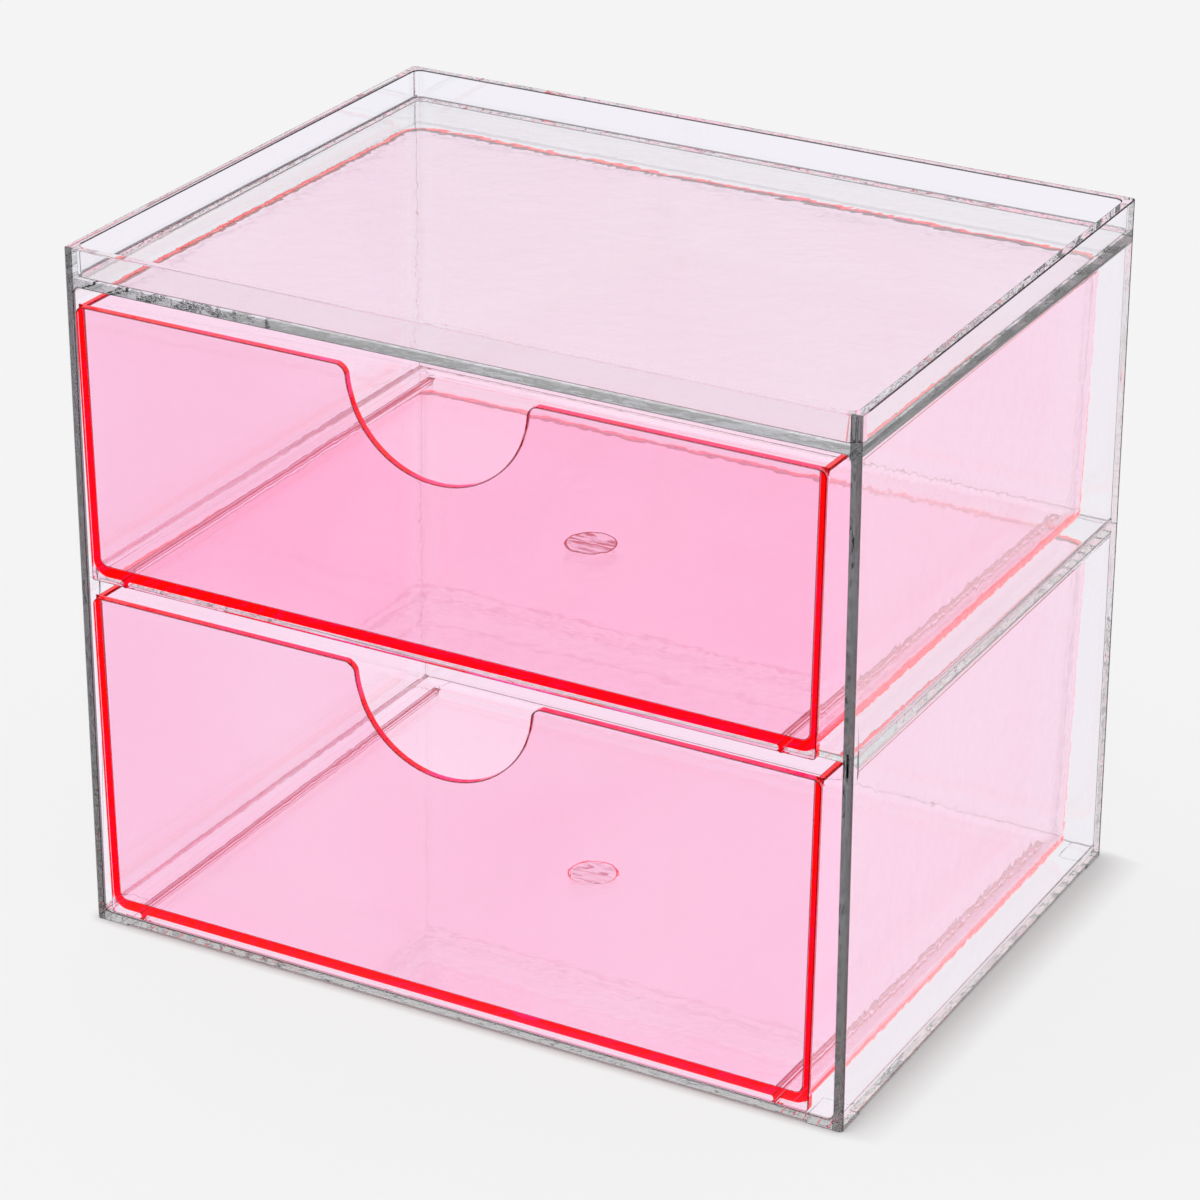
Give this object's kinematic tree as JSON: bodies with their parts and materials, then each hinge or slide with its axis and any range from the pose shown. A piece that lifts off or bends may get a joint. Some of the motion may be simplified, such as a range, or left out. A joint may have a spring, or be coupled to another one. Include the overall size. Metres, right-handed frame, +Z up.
{
  "type": "stackable drawer box",
  "caption": "Clear box-shaped case with a middle shelf and a rimmed top tray, holding pink transparent pull-out drawers with a finger notch in each front.",
  "frame": {"origin": "centre of the case's footprint, on the plane of its feet", "axes": "+Z up, -Y toward the open front where the drawers pull out, +X to the right seen from the front"},
  "size_m": [0.175, 0.1307, 0.1504],
  "materials": {
    "clear_case": "clear transparent, polished",
    "pink_drawer": "pink transparent, polished"
  },
  "bodies": {
    "case": {"case": "clear_case"},
    "upper_drawer": {"upper_drawer": "pink_drawer"},
    "lower_drawer": {"lower_drawer": "pink_drawer"}
  },
  "joints": [
    {"name": "upper_drawer_slide", "type": "slide", "parent": "case", "child": "upper_drawer", "axis": [0, -1, 0], "range_m": [-0.0024, 0.11]},
    {"name": "lower_drawer_slide", "type": "slide", "parent": "case", "child": "lower_drawer", "axis": [0, -1, 0], "range_m": [-0.0015, 0.11]}
  ]
}
